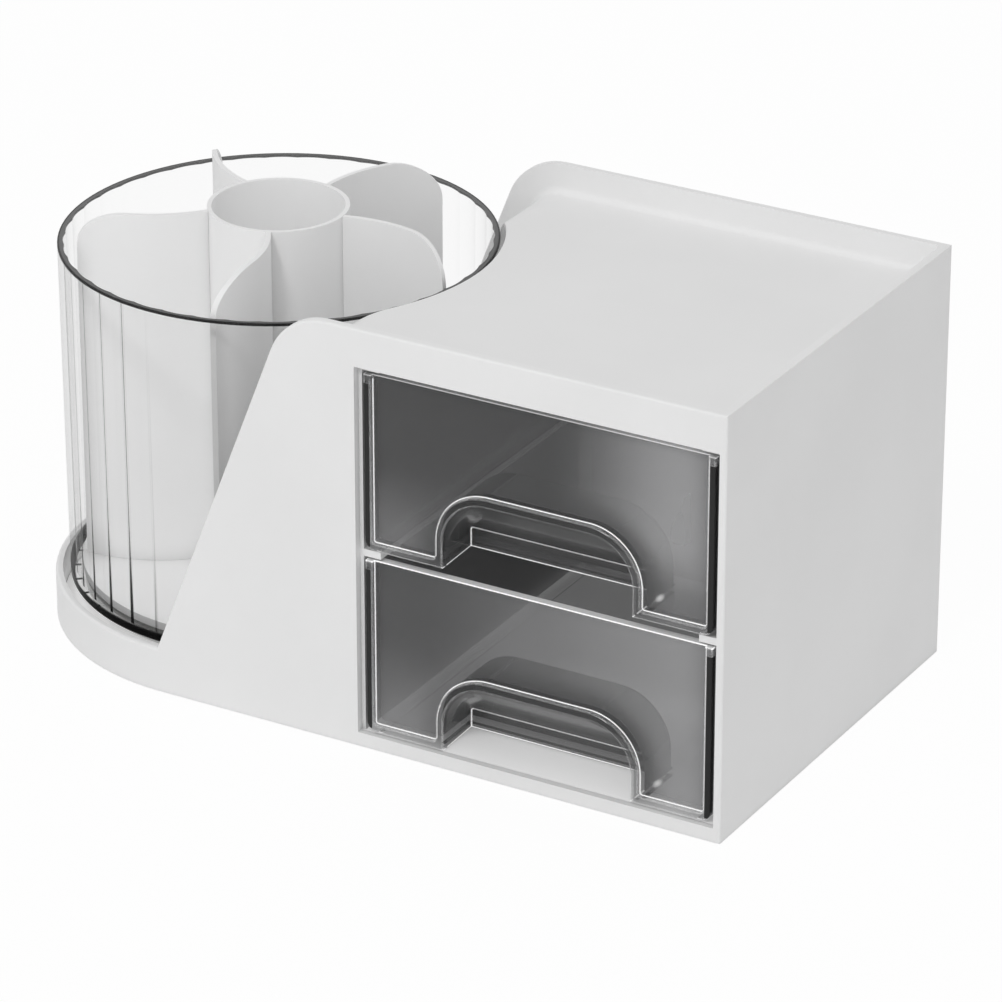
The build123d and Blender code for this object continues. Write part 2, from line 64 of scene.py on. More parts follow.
# ------------------------------------------------------------------ shader expressions
class Socket:
    """A node's output that takes part in Python expressions."""

    def __init__(self, tree: "Tree", output: bpy.types.NodeSocket) -> None:
        """Wraps one output.

        Args:
            tree: The tree that new nodes are added to.
            output: The wrapped output socket.
        """
        self.tree = tree
        self.output = output

    def _math(self, operation: str, *values: "Operand") -> "Socket":
        """Adds one Math node.

        Args:
            operation: Blender's name of the operation.
            values: The operands, in order.

        Returns:
            The result's socket.
        """
        return self.tree.node("ShaderNodeMath", {"operation": operation}, dict(enumerate(values)))

    def __add__(self, other: "Operand") -> "Socket":
        """The sum."""
        return self._math("ADD", self, other)

    def __radd__(self, other: Number) -> "Socket":
        """The sum, with a number first."""
        return self._math("ADD", other, self)

    def __sub__(self, other: "Operand") -> "Socket":
        """The difference."""
        return self._math("SUBTRACT", self, other)

    def __rsub__(self, other: Number) -> "Socket":
        """The difference, with a number first."""
        return self._math("SUBTRACT", other, self)

    def __mul__(self, other: "Operand") -> "Socket":
        """The product."""
        return self._math("MULTIPLY", self, other)

    def __rmul__(self, other: Number) -> "Socket":
        """The product, with a number first."""
        return self._math("MULTIPLY", other, self)

    def __pow__(self, other: "Operand") -> "Socket":
        """The power."""
        return self._math("POWER", self, other)

    def __mod__(self, other: "Operand") -> "Socket":
        """The remainder, which is never negative."""
        return self._math("FLOORED_MODULO", self, other)

    def __abs__(self) -> "Socket":
        """The value without its sign."""
        return self._math("ABSOLUTE", self)

    def beyond(self, start: Number) -> "Socket":
        """How far the value lies past a start, or 0 before it.

        Args:
            start: The value from which it counts.

        Returns:
            The part past the start.
        """
        return self._math("MAXIMUM", self - start, 0.0)

    def length(self, other: "Socket") -> "Socket":
        """Length of the flat vector that has this value and another as its parts.

        Args:
            other: The second part.

        Returns:
            The length.
        """
        return (self ** 2.0 + other ** 2.0) ** 0.5

    def bearing(self, across: "Socket") -> "Socket":
        """Angle of the flat vector whose second part is this value.

        Args:
            across: The first part.

        Returns:
            The angle in radians.
        """
        return self._math("ARCTAN2", self, across)

    def folded(self, half: Number) -> "Socket":
        """Distance from the nearest whole period.

        Args:
            half: Half of the period.

        Returns:
            The distance, from 0 to half.
        """
        return self._math("PINGPONG", self, half)

    def above(self, low: Number, high: Number) -> "Socket":
        """Smooth step up.

        Args:
            low: The value that gives 0.
            high: The value that gives 1.

        Returns:
            A mask from 0 to 1.
        """
        return self.tree.node(
            "ShaderNodeMapRange",
            {"interpolation_type": "SMOOTHSTEP"},
            {"Value": self, "From Min": low, "From Max": high},
        )

    def below(self, low: Number, high: Number) -> "Socket":
        """Smooth step down.

        Args:
            low: The value that gives 1.
            high: The value that gives 0.

        Returns:
            A mask from 1 to 0.
        """
        return 1.0 - self.above(low, high)


Operand = Union[Number, Socket]
Input = Union[Number, Colour, Socket]


class Tree:
    """The node tree of one material or world."""

    def __init__(self, owner: Union[bpy.types.Material, bpy.types.World]) -> None:
        """Empties the owner's tree.

        Args:
            owner: The material or world whose nodes are made.
        """
        owner.use_nodes = True
        self.nodes = owner.node_tree.nodes
        self.links = owner.node_tree.links
        self.nodes.clear()

    def node(
        self,
        kind: str,
        settings: Optional[Mapping[str, Any]] = None,
        inputs: Optional[Mapping[Union[str, int], Input]] = None,
        output: Union[str, int] = 0,
    ) -> Socket:
        """Adds any node.

        Args:
            kind: Blender's node type.
            settings: Attributes of the node, which are set first.
            inputs: Numbers, colours or sockets by input name or place.
            output: The output that is returned.

        Returns:
            The chosen output.
        """
        made = self.nodes.new(kind)
        for name, value in (settings or {}).items():
            setattr(made, name, value)
        for name, value in (inputs or {}).items():
            slot = made.inputs[name]
            if isinstance(value, Socket):
                self.links.new(value.output, slot)
            elif isinstance(value, (int, float)):
                slot.default_value = value
            else:
                slot.default_value = (*value, 1.0)
        return Socket(self, made.outputs[output])

    def place(self) -> Socket:
        """The point on the piece, in metres, which moves with the piece."""
        return self.node("ShaderNodeTexCoord", output="Object")

    def parts(self) -> tuple[Socket, Socket, Socket]:
        """The three coordinates of the point on the piece, in metres."""
        split = self.node("ShaderNodeSeparateXYZ", None, {0: self.place()})
        outputs = split.output.node.outputs
        return tuple(Socket(self, outputs[name]) for name in ("X", "Y", "Z"))

    def noise(self, per_metre: Number, detail: Number = 2.0, roughness: Number = 0.5) -> Socket:
        """Cloudy noise in the piece's own space.

        Args:
            per_metre: Cells per metre.
            detail: Number of finer layers.
            roughness: Weight of the finer layers.

        Returns:
            A value about 0.5.
        """
        return self.node(
            "ShaderNodeTexNoise",
            {"noise_dimensions": "3D"},
            {"Vector": self.place(), "Scale": per_metre, "Detail": detail, "Roughness": roughness},
        )

    def shade(self, mask: Operand, low: Input, high: Input) -> Socket:
        """Mixes two colours.

        Args:
            mask: 0 gives low and 1 gives high.
            low: The first colour.
            high: The second colour.

        Returns:
            The mixed colour.
        """
        return self.node(
            "ShaderNodeMix",
            {"data_type": "RGBA", "clamp_factor": True},
            {0: mask, 6: low, 7: high},
            output=2,
        )

    def facing(self) -> Socket:
        """0 where the face is seen square on, 1 where it is seen edge on."""
        return self.node("ShaderNodeLayerWeight", None, {"Blend": FACING_BLEND}, output="Facing")

    def glancing(self) -> Socket:
        """Share of light that a polished face mirrors, the same from both of its sides."""
        return self.facing() ** SCHLICK_POWER * SCHLICK_RISE + SCHLICK_BASE

    def edge(self, radius: Number) -> Socket:
        """Mask of convex and concave edges.

        Args:
            radius: How far from an edge the mask reaches.

        Returns:
            0 on flat faces, up to about 0.3 on a right-angled edge.
        """
        rounded = self.node("ShaderNodeBevel", {"samples": EDGE_SAMPLES}, {"Radius": radius})
        flat = self.node("ShaderNodeNewGeometry", output="Normal")
        dot = {"operation": "DOT_PRODUCT"}
        return 1.0 - self.node("ShaderNodeVectorMath", dot, {0: rounded, 1: flat}, output="Value")

    def crevice(self, reach: Number) -> Socket:
        """Mask of narrow gaps and deep corners, where shade is painted.

        Args:
            reach: How far away a neighbouring face still counts, in metres.

        Returns:
            0 on open faces, 1 deep in a gap.
        """
        settings = {"samples": EDGE_SAMPLES}
        free = self.node("ShaderNodeAmbientOcclusion", settings, {"Distance": reach}, output="AO")
        return (1.0 - free).above(*GAP_SPAN)

    def bump(self, height: Socket, depth: Number, strength: Number = 1.0) -> Socket:
        """Relief from a height map.

        Args:
            height: The height, from 0 to 1.
            depth: Its full depth in metres.
            strength: Share of the relief that shows.

        Returns:
            The bent normal.
        """
        values = {"Strength": strength, "Distance": depth, "Height": height}
        return self.node("ShaderNodeBump", None, values)

    def principled(self, inputs: Mapping[Union[str, int], Input]) -> Socket:
        """The shader of an opaque or polished surface.

        Args:
            inputs: Numbers, colours or sockets by input name.

        Returns:
            The shader.
        """
        return self.node("ShaderNodeBsdfPrincipled", None, inputs)

    def clear(self, colour: Colour) -> Socket:
        """The shader of a face that light passes straight through.

        Args:
            colour: Share of the light that passes.

        Returns:
            The shader.
        """
        return self.node("ShaderNodeBsdfTransparent", None, {"Color": colour})

    def blend(self, share: Operand, low: Socket, high: Socket) -> Socket:
        """Mixes two shaders.

        Args:
            share: 0 gives low and 1 gives high.
            low: The first shader.
            high: The second shader.

        Returns:
            The mixed shader.
        """
        return self.node("ShaderNodeMixShader", None, {0: share, 1: low, 2: high})

    def pigment(self, colour: Colour, density: Number) -> Socket:
        """The volume shader of a tinted plastic.

        Args:
            colour: Colour that is left over.
            density: Absorption per metre.

        Returns:
            The volume shader.
        """
        return self.node("ShaderNodeVolumeAbsorption", None, {"Color": colour, "Density": density})

    def surface(self, shader: Socket, volume: Optional[Socket] = None) -> None:
        """Ends the tree.

        Args:
            shader: The surface shader.
            volume: The volume shader, if the piece has one.
        """
        out = self.nodes.new("ShaderNodeOutputMaterial")
        self.links.new(shader.output, out.inputs["Surface"])
        if volume is not None:
            self.links.new(volume.output, out.inputs["Volume"])


# ------------------------------------------------------------------ finishes
@dataclass(frozen=True)
class Moulding:
    """Opaque moulded plastic or rubber with a fine eroded grain, painted shade in its gaps and
    corners, and a painted glow.

    Attributes:
        name: The material's name.
        colour: Base colour.
        roughness: Mean roughness.
        grain: Grain cells per metre.
        relief: Depth of the grain in metres.
        drift: Share by which the colour drifts over the piece.
        painted_glow: Painted light: how strongly the plastic glows on its own, which lifts its
            shade.
        painted_shade_reach: How far painted shade reaches from the walls of a gap, in metres.
        painted_gap_shade: Share by which painted shade darkens a deep gap.
        painted_gap_colour: Colour of the painted shade in a gap.
        clouds: Cells per metre of the colour's drift.
        cloud_detail: Finer layers of the drift.
        cloud_span: Noise values between which the colour drifts.
        cloud_rough: Change of roughness with the drift.
        grain_detail: Finer layers of the grain.
        grain_weight: Weight of those layers.
        grain_rough: Change of roughness with the grain.
        wear_reach: How far rubbing reaches from an edge, in metres.
        wear_gain: Strength of the edge mask before its span.
        wear_span: Edge values between which the plastic is rubbed.
        wear_tint: Share by which rubbed edges are paler.
        wear_lift: How much paler they get.
        wear_shine: How much smoother they get.
        specular: Strength of the surface's gloss.
    """

    name: str
    colour: Colour
    roughness: float
    grain: float = 2600.0
    relief: float = 0.02 * MM
    drift: float = 0.03
    painted_glow: float = 0.0
    painted_shade_reach: float = 3.0 * MM
    painted_gap_shade: float = 0.5
    painted_gap_colour: Colour = (0.02, 0.02, 0.02)
    clouds: float = 18.0
    cloud_detail: float = 3.0
    cloud_span: Span = (0.3, 0.7)
    cloud_rough: float = 0.12
    grain_detail: float = 2.0
    grain_weight: float = 0.6
    grain_rough: float = 0.1
    wear_reach: float = 0.6 * MM
    wear_gain: float = 3.0
    wear_span: Span = (0.1, 0.8)
    wear_tint: float = 0.25
    wear_lift: float = 1.12
    wear_shine: float = 0.08
    specular: float = 0.4

    def build(self) -> bpy.types.Material:
        """Makes the material.

        Returns:
            The material.
        """
        made = bpy.data.materials.new(self.name)
        tree = Tree(made)
        cloud = tree.noise(self.clouds, self.cloud_detail)
        grain = tree.noise(self.grain, self.grain_detail, self.grain_weight)
        rubbed = (tree.edge(self.wear_reach) * self.wear_gain).above(*self.wear_span)
        darker = tuple(part * (1.0 - self.drift) for part in self.colour)
        paler = tuple(min(1.0, part * self.wear_lift) for part in self.colour)
        tint = tree.shade(cloud.above(*self.cloud_span), darker, self.colour)
        tint = tree.shade(rubbed * self.wear_tint, tint, paler)
        # Painted shade: occlusion darkens narrow gaps and deep corners.
        tint = tree.shade(tree.crevice(self.painted_shade_reach) * self.painted_gap_shade, tint, self.painted_gap_colour)
        rough = self.roughness + (cloud - NOISE_MEAN) * self.cloud_rough
        rough = rough + (grain - NOISE_MEAN) * self.grain_rough - rubbed * self.wear_shine
        tree.surface(tree.principled({
            "Base Color": tint,
            "Roughness": rough,
            "Specular IOR Level": self.specular,
            # Painted light: the emission makes the plastic glow and lifts its shaded parts.
            "Emission Color": tint,
            "Emission Strength": self.painted_glow,
            "Normal": tree.bump(grain, self.relief),
        }))
        return made


@dataclass(frozen=True)
class DrawerPoint:
    """Where a shaded point lies on its drawer.

    Attributes:
        across: -1 at the drawer's left side, 1 at its right.
        outward: 0 in the middle, 1 at either side.
        height: Height above the drawer's underside, in metres.
        deep: Depth behind the front's outer face, in metres.
        arch: Distance from the finger pull's centre line, in metres.
        front: 1 on the front's rimmed face.
        upper: 1 on the upper drawer.
    """

    across: Socket
    outward: Socket
    height: Socket
    deep: Socket
    arch: Socket
    front: Socket
    upper: Socket


@dataclass(frozen=True)
class Pull:
    """The arched finger pull and the block behind it, in metres.

    Attributes:
        straight: Half of the arch's straight crown.
        spring: Height at which the arch starts to bend.
        hollow: Distance of the hollow's wall from the arch's centre line.
        outside: Distance of the block's outside from it.
        behind: Depth at which the block leaves the front.
        mouth: Depth at which the hollow's shade starts.
        throat: Depth at which the hollow's painted bright edges start.
        end_wall: Depth of the hollow's end wall.
        rear: Depth at which the block's rear wall starts.
        past: Depth at which the block ends.
        shadow: Distance beside the arch over which painted shade gives way to the painted light.
        shadow_floor: Share of the painted light that is left next to the arch.
    """

    straight: float = 14.9 * MM
    spring: float = 7.5 * MM
    hollow: Span = (14.2 * MM, 14.6 * MM)
    outside: Span = (15.5 * MM, 15.8 * MM)
    behind: Span = (3.4 * MM, 3.8 * MM)
    mouth: Span = (1.4 * MM, 2.4 * MM)
    throat: Span = (2.2 * MM, 2.6 * MM)
    end_wall: Span = (16.4 * MM, 16.8 * MM)
    rear: Span = (17.0 * MM, 17.4 * MM)
    past: Span = (18.2 * MM, 18.6 * MM)
    shadow: Span = (15.0 * MM, 24.0 * MM)
    shadow_floor: float = 0.2

    def halo(self, at: DrawerPoint) -> Socket:
        """Mask of the painted shade on the block's outside.

        Args:
            at: The shaded point.

        Returns:
            The mask.
        """
        shell = at.arch.above(*self.hollow) * at.deep.above(*self.behind)
        shell = (shell + at.deep.above(*self.rear)) * at.arch.below(*self.outside)
        return shell * at.deep.below(*self.past)

    def pocket(self, at: DrawerPoint) -> Socket:
        """Mask of the hollow that the finger goes into, where shade is painted.

        Args:
            at: The shaded point.

        Returns:
            The mask.
        """
        hollow = at.deep.above(*self.mouth) * at.deep.below(*self.end_wall)
        return hollow * at.arch.below(*self.hollow)

    def lined(self, at: DrawerPoint) -> Socket:
        """Mask of the hollow's faces whose edges get painted highlights.

        Args:
            at: The shaded point.

        Returns:
            The mask.
        """
        inside = at.arch.below(*self.hollow) * at.deep.above(*self.throat)
        return inside * at.deep.below(*self.end_wall)

    def dimmed(self, light: Socket, at: DrawerPoint) -> Socket:
        """Painted shade: light that is taken away round the arch, as if the block shaded it.

        Args:
            light: The light before.
            at: The shaded point.

        Returns:
            The light after.
        """
        return light * (self.shadow_floor + at.arch.above(*self.shadow) * (1.0 - self.shadow_floor))


@dataclass(frozen=True)
class LightFlow:
    """Painted light in broad bands on the smoked plastic's colour.

    Attributes:
        right_rise: Where the right-hand band starts, across.
        right_fall: Where it ends.
        right_share: Its strength in the lower drawer.
        right_upper: What the upper drawer has more.
        upper_rise: Height over which the upper drawer's band gets its strength, in metres.
        upper_dim: Share that is missing below it.
        middle_rise: Where the lower drawer's middle band starts, across.
        middle_fall: Where it ends.
        middle_share: Its strength.
        clouds: Cells per metre of the uneven flow.
        cloud_detail: Its finer layers.
        cloud_weight: Their weight.
        cloud_share: Its strength.
        corner_fall: Height over which the bottom left corner's light fades, in metres.
        corner_side: Where it fades, across.
        corner_share: Its strength.
    """

    right_rise: Span = (0.0, 0.8)
    right_fall: Span = (0.82, 1.15)
    right_share: float = 0.66
    right_upper: float = 0.22
    upper_rise: Span = (4.0 * MM, 24.0 * MM)
    upper_dim: float = 0.7
    middle_rise: Span = (-0.7, 0.1)
    middle_fall: Span = (0.1, 0.7)
    middle_share: float = 0.28
    clouds: float = 9.0
    cloud_detail: float = 2.0
    cloud_weight: float = 0.45
    cloud_share: float = 0.45
    corner_fall: Span = (4.0 * MM, 30.0 * MM)
    corner_side: Span = (-0.9, -0.3)
    corner_share: float = 0.35

    def light(self, tree: Tree, at: DrawerPoint) -> Socket:
        """The flow at a point.

        Args:
            tree: The material's tree.
            at: The shaded point.

        Returns:
            About 0 in the dark zones, about 1 in the light ones.
        """
        raised = 1.0 - at.upper * at.height.below(*self.upper_rise) * self.upper_dim
        right = at.across.above(*self.right_rise) * at.across.below(*self.right_fall) * raised
        flow = right * (self.right_share + at.upper * self.right_upper)
        middle = at.across.above(*self.middle_rise) * at.across.below(*self.middle_fall)
        flow = flow + middle * (1.0 - at.upper) * self.middle_share
        cloud = tree.noise(self.clouds, self.cloud_detail, self.cloud_weight)
        flow = flow + (cloud - NOISE_MEAN) * self.cloud_share
        corner = at.height.below(*self.corner_fall) * at.across.below(*self.corner_side)
        return flow + corner * self.corner_share


@dataclass(frozen=True)
class Spot:
    """Small slanting painted glint on the front, where the block's lower right corner throws one.

    Attributes:
        aside: Its place to the right of the drawer's middle, in metres.
        aloft: Its height above the drawer's underside, in metres.
        along: Weight of the distance along the glint.
        over: Weight of the distance across it.
        fade: Weighted distance over which it fades, in metres.
    """

    aside: float = 35.3 * MM
    aloft: float = 6.8 * MM
    along: float = 0.35
    over: float = 0.7
    fade: Span = (0.1 * MM, 1.3 * MM)

    def mask(self, at: DrawerPoint, half: float) -> Socket:
        """Mask of the painted glint.

        Args:
            at: The shaded point.
            half: Half of the drawer's width, in metres.

        Returns:
            The mask.
        """
        aside = at.across * half - self.aside
        aloft = at.height - self.aloft
        away = ((aside + aloft) * self.along).length((aside - aloft) * self.over)
        return away.below(*self.fade) * at.front


@dataclass(frozen=True)
class Smoked:
    """Smoked translucent plastic with polished faces, painted bright edges, and painted light and
    shade.

    Attributes:
        name: The material's name.
        skin: Colour of light that passes one face.
        body: Colour of the pigment near the surface.
        haze: Share of the pigment, seen square on.
        density: Absorption per metre of plastic.
        roughness: Roughness of the polish.
        painted_glint: Brightness of the painted glow on the edges.
        axis: X of the drawer's middle, in metres.
        half: Half of the drawer's width, in metres.
        face: Y of the drawer's foremost face, in metres.
        low: Height of the lower drawer's underside, in metres.
        storey: Height from one drawer to the next, in metres.
        top: Height of a drawer's front, in metres.
        upper_start: Span that parts the drawers, below the upper one's underside, in metres.
        front_skin: Depth at which the front's rimmed face ends, in metres.
        slot_side: Where the painted dark slots start, outward.
        slot_foot: Height at which they start, in metres.
        slot_head: Distance below the front's top at which they end, in metres.
        crown_head: Distance below the top at which the painted light on the top face starts, in
            metres.
        crown_depth: Depth at which it ends, in metres.
        cap_head: Distance below the top at which the upper drawer's painted edge highlights get
            duller.
        cap_shade: Share by which they are duller.
        lined_depth: Depth at which the front's painted bright edges end, in metres.
        edge_reach: How far an edge's painted highlight reaches, in metres.
        edge_gain: Strength of the edge mask before its span.
        edge_span: Edge values between which the edge is painted bright.
        painted_pale: How much paler the pigment is painted in the bands of painted light.
        painted_block_shade: Colour of the painted shade on the block's outside.
        painted_pocket_shade: Colour of the painted shade in the hollow.
        painted_slot_shade: Colour of the painted shade in the side slots.
        painted_edge_highlight: Colour of the painted highlight on the edges.
        halo_tint: Share of the block's painted shade.
        pocket_tint: Share of the hollow's painted shade.
        spot_tint: Share of the painted glint's colour.
        shares: Opacity that each mask adds, by the mask's name.
        smears: Cells per metre of the polish's smears.
        smear_rough: Change of roughness with them.
        smear_share: Change of opacity with them.
        smear_relief: Their depth in metres.
        smear_bump: Share of that depth that shows.
        specks: Cells per metre of the polish's fine specks.
        speck_rough: Change of roughness with them.
        specular: Strength of the surface's gloss.
        pull: The finger pull and its block.
        flow: The painted light on the plastic.
        spot: The painted glint beside the pull.
    """

    name: str
    skin: Colour = (0.97, 0.97, 0.972)
    body: Colour = (0.3, 0.3, 0.303)
    haze: float = 0.14
    density: float = 60.0
    roughness: float = 0.1
    painted_glint: float = 0.6
    axis: float = 0.0616
    half: float = 0.05115
    face: float = -0.06165
    low: float = 0.0047
    storey: float = 0.053
    top: float = 0.0499
    upper_start: Span = (2.0 * MM, 1.5 * MM)
    front_skin: Span = (1.4 * MM, 1.6 * MM)
    slot_side: Span = (0.966, 0.970)
    slot_foot: Span = (0.8 * MM, 1.2 * MM)
    slot_head: Span = (2.6 * MM, 2.2 * MM)
    crown_head: Span = (0.3 * MM, 0.1 * MM)
    crown_depth: Span = (3.6 * MM, 4.0 * MM)
    cap_head: Span = (1.4 * MM, 0.8 * MM)
    cap_shade: float = 0.7
    lined_depth: Span = (1.3 * MM, 1.6 * MM)
    edge_reach: float = 0.7 * MM
    edge_gain: float = 8.0
    edge_span: Span = (0.08, 0.6)
    painted_pale: float = 3.3
    painted_block_shade: Colour = (0.01, 0.01, 0.01)
    painted_pocket_shade: Colour = (0.06, 0.06, 0.06)
    painted_slot_shade: Colour = (0.004, 0.004, 0.004)
    painted_edge_highlight: Colour = (0.92, 0.92, 0.92)
    halo_tint: float = 0.9
    pocket_tint: float = 0.5
    spot_tint: float = 0.9
    shares: Mapping[str, float] = field(default_factory=lambda: {
        "glancing": 0.8, "flow": 0.1, "edges": 0.8, "crown": 0.8, "slot": 0.9, "halo": 0.75,
        "pocket": 0.3, "spot": 0.45,
    }, hash=False)
    smears: float = 35.0
    smear_rough: float = 0.05
    smear_share: float = 0.03
    smear_relief: float = 0.02 * MM
    smear_bump: float = 0.3
    specks: float = 900.0
    speck_rough: float = 0.02
    specular: float = 0.5
    pull: Pull = Pull()
    flow: LightFlow = LightFlow()
    spot: Spot = Spot()

    def point(self, tree: Tree) -> DrawerPoint:
        """Finds where the shaded point lies on its drawer.

        Args:
            tree: The material's tree.

        Returns:
            The point.
        """
        x, y, z = tree.parts()
        across = (x - self.axis) * (1.0 / self.half)
        outward = abs(across)
        height = (z - self.low) % self.storey
        deep = y - self.face
        past_crown = (outward * self.half).beyond(self.pull.straight)
        arch = past_crown.length(height.beyond(self.pull.spring))
        second = self.low + self.storey
        upper = z.above(*(second - gap for gap in self.upper_start))
        return DrawerPoint(across, outward, height, deep, arch, deep.below(*self.front_skin), upper)

    def near_top(self, gaps: Span) -> Span:
        """Heights that lie below the front's top.

        Args:
            gaps: Their distances from the top, in metres.

        Returns:
            The heights, in metres.
        """
        return self.top - gaps[0], self.top - gaps[1]

    def slot(self, at: DrawerPoint) -> Socket:
        """Mask of the painted dark shade in the slots at the front's sides.

        Args:
            at: The shaded point.

        Returns:
            The mask.
        """
        slot = at.outward.above(*self.slot_side) * at.height.above(*self.slot_foot) * at.front
        return slot * at.height.below(*self.near_top(self.slot_head))

    def build(self) -> bpy.types.Material:
        """Makes the material.

        Returns:
            The material.
        """
        made = bpy.data.materials.new(self.name)
        tree = Tree(made)
        at = self.point(tree)
        # Painted light on the top face of each front.
        crown = at.height.above(*self.near_top(self.crown_head)) * at.deep.below(*self.crown_depth)
        capped = 1.0 - at.upper * at.height.above(*self.near_top(self.cap_head)) * self.cap_shade
        lined = at.deep.below(*self.lined_depth) + self.pull.lined(at)
        masks = {
            "glancing": tree.glancing(),
            # Painted light, with painted shade round the arch.
            "flow": self.pull.dimmed(self.flow.light(tree, at), at),
            "edges": (tree.edge(self.edge_reach) * self.edge_gain).above(*self.edge_span),
            "crown": crown,
            "slot": self.slot(at),
            "halo": self.pull.halo(at),
            "pocket": self.pull.pocket(at),
            "spot": self.spot.mask(at, self.half),
        }
        # Painted highlights on the edges.
        masks["edges"] = masks["edges"] * (1.0 - masks["slot"]) * lined * capped
        smear = tree.noise(self.smears)
        speck = tree.noise(self.specks)
        # Painted light: the pigment is painted paler in broad bands.
        painted_pale = tuple(min(1.0, part * self.painted_pale) for part in self.body)
        tint = tree.shade(masks["flow"], self.body, painted_pale)
        # Painted shade: the block behind the pull is painted nearly black.
        tint = tree.shade(masks["halo"] * self.halo_tint, tint, self.painted_block_shade)
        # Painted shade: the finger's hollow is painted darker.
        tint = tree.shade(masks["pocket"] * self.pocket_tint, tint, self.painted_pocket_shade)
        # Painted shade: the slots at the front's sides are painted black.
        tint = tree.shade(masks["slot"], tint, self.painted_slot_shade)
        # Painted highlights: the edges, the top face and the glint are painted nearly white.
        painted_bright = masks["edges"] + crown * capped + masks["spot"] * self.spot_tint
        rough = self.roughness + (smear - NOISE_MEAN) * self.smear_rough
        polish = tree.principled({
            "Base Color": tree.shade(painted_bright, tint, self.painted_edge_highlight),
            "Roughness": rough + (speck - NOISE_MEAN) * self.speck_rough,
            "Specular IOR Level": self.specular,
            # Painted light: the edges glow.
            "Emission Color": tree.shade(masks["edges"], BLACK, FULL_WHITE),
            "Emission Strength": self.painted_glint,
            "Normal": tree.bump(smear, self.smear_relief, self.smear_bump),
        })
        share = self.haze + (smear - NOISE_MEAN) * self.smear_share
        for name, part in self.shares.items():
            share = share + masks[name] * part
        shader = tree.blend(share, tree.clear(self.skin), polish)
        tree.surface(shader, tree.pigment(BLACK, self.density))
        return made


